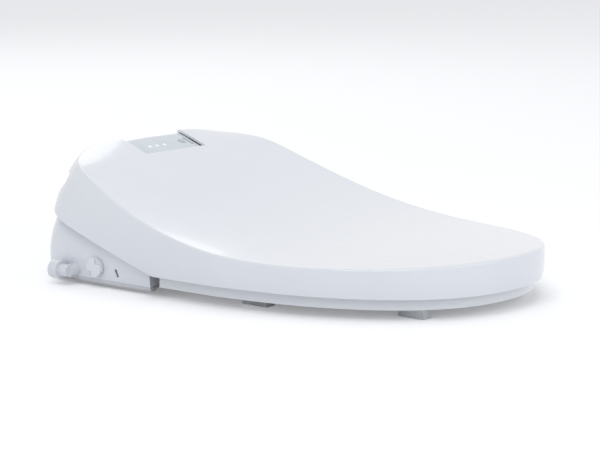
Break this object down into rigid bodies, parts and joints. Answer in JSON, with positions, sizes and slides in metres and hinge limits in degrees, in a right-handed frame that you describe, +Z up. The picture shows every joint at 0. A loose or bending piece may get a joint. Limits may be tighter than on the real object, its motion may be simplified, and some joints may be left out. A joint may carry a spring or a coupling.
{
  "type": "electric bidet seat",
  "caption": "Toilet seat with a rear unit that holds a sliding wash nozzle, dryer and display, a hinged heated seat and a sloping lid, on a slide-on plate.",
  "frame": {"origin": "midway between the two rim bolt holes, on the top face of the toilet rim that the pads rest on", "axes": "+Z up, -Y to the front of the bowl, -X the right hand of a person sitting on it"},
  "size_m": [0.4124, 0.5366, 0.1485],
  "materials": {
    "gloss_white": "high-gloss moulded polypropylene",
    "seat_white": "satin-gloss moulded resin",
    "case_grey": "fine matt moulded plastic",
    "plate_white": "satin moulded plastic",
    "display_grey": "glossy smoked blue-grey",
    "key_grey": "satin",
    "rubber_grey": "matt",
    "rubber_white": "matt",
    "pin_steel": "turned",
    "screw_steel": "bright zinc",
    "acetal": "machined natural",
    "engineering_black": "glass-filled moulded plastic",
    "engineering_grey": "glass-filled moulded plastic",
    "circuit_green": "solder mask",
    "nozzle_steel": "polished",
    "heater_foil": "foil",
    "motor_steel": "zinc plated",
    "fitting_white": "gloss"
  },
  "bodies": {
    "mount": {"mounting_plate": "plate_white", "plate_pads": "rubber_grey"},
    "unit": {"lower_case": "case_grey", "upper_cover": "gloss_white", "display_lens": "display_grey", "display_board": "circuit_green", "unit_feet": "rubber_grey", "case_screws": "screw_steel", "seat_hinge_pins": "pin_steel", "seat_damper": "engineering_black", "lid_damper": "engineering_black", "nozzle_guide": "engineering_grey", "nozzle_motor": "motor_steel", "water_inlet": "fitting_white", "inlet_nut": "acetal", "solenoid_valve": "engineering_black", "filter_socket": "engineering_grey", "water_heater": "engineering_grey", "flow_selector": "engineering_grey", "air_pump": "engineering_black", "power_supply": "engineering_black", "control_board": "circuit_green", "cord_gland": "rubber_white", "deodoriser_housing": "engineering_grey", "dryer_duct": "engineering_grey", "dryer_motor": "motor_steel", "dryer_heater": "motor_steel"},
    "seat": {"seat_top": "seat_white", "seat_base": "seat_white", "seat_heater": "heater_foil", "seat_screws": "screw_steel", "seat_bumpers": "rubber_white", "seat_hinge_bushes": "acetal"},
    "hinge_shaft": {"lid_hinge_shaft": "pin_steel"},
    "lid": {"lid_shell": "gloss_white", "lid_bumpers": "rubber_white"},
    "nozzle": {"nozzle_tube": "nozzle_steel", "nozzle_tip": "fitting_white", "nozzle_cap": "gloss_white", "nozzle_rack": "acetal"},
    "pinion": {"drive_pinion": "acetal"},
    "release": {"release_button": "gloss_white"},
    "power_key": {"power_button": "key_grey"},
    "knob": {"filter_knob": "gloss_white"},
    "filter": {"deodoriser_filter": "gloss_white"},
    "flap": {"dryer_flap": "gloss_white"},
    "fan": {"dryer_fan_wheel": "engineering_black"}
  },
  "joints": [
    {"name": "unit_slide", "type": "slide", "parent": "mount", "child": "unit", "axis": [0, -1, 0], "range_m": [0, 0.06]},
    {"name": "seat_hinge", "type": "hinge", "parent": "unit", "child": "seat", "pos_m": [0, -0.045, 0.048], "axis": [-1, 0, 0], "range_deg": [0, 105]},
    {"name": "lid_carrier", "type": "hinge", "parent": "unit", "child": "hinge_shaft", "pos_m": [0, 0.052, 0.097], "axis": [-1, 0, 0], "range_deg": [0, 112]},
    {"name": "lid_hinge", "type": "hinge", "parent": "hinge_shaft", "child": "lid", "pos_m": [0, 0.052, 0.097], "axis": [1, 0, 0], "range_deg": [-112, 0]},
    {"name": "nozzle_slide", "type": "slide", "parent": "unit", "child": "nozzle", "axis": [0, -0.8192, -0.5736], "range_m": [0, 0.09]},
    {"name": "pinion_spin", "type": "hinge", "parent": "unit", "child": "pinion", "pos_m": [0, -0.0614, 0.0521], "axis": [1, 0, 0], "range_deg": [-900, 900]},
    {"name": "release_press", "type": "slide", "parent": "unit", "child": "release", "axis": [-1, 0, 0], "range_m": [0, 0.005], "stiffness_N_per_m": 600},
    {"name": "power_press", "type": "slide", "parent": "unit", "child": "power_key", "axis": [0, 0, -1], "range_m": [0, 0.001], "stiffness_N_per_m": 900},
    {"name": "knob_turn", "type": "hinge", "parent": "unit", "child": "knob", "pos_m": [-0.19, -0.035, 0.024], "axis": [-1, 0, 0], "range_deg": [0, 90]},
    {"name": "filter_slide", "type": "slide", "parent": "unit", "child": "filter", "axis": [1, 0, 0], "range_m": [0, 0.03]},
    {"name": "flap_hinge", "type": "hinge", "parent": "unit", "child": "flap", "pos_m": [0.062, -0.0885, 0.026], "axis": [-1, 0, 0], "range_deg": [0, 60], "stiffness_Nm_per_rad": 0.01},
    {"name": "fan_spin", "type": "hinge", "parent": "unit", "child": "fan", "pos_m": [0.062, -0.034, 0.031], "axis": [0, 0, 1], "continuous": true}
  ],
  "couplings": [
    {"joint": "lid_carrier", "follows": "seat_hinge", "ratio": 1.04},
    {"joint": "pinion_spin", "follows": "nozzle_slide", "rad_per_m": -142.86}
  ]
}
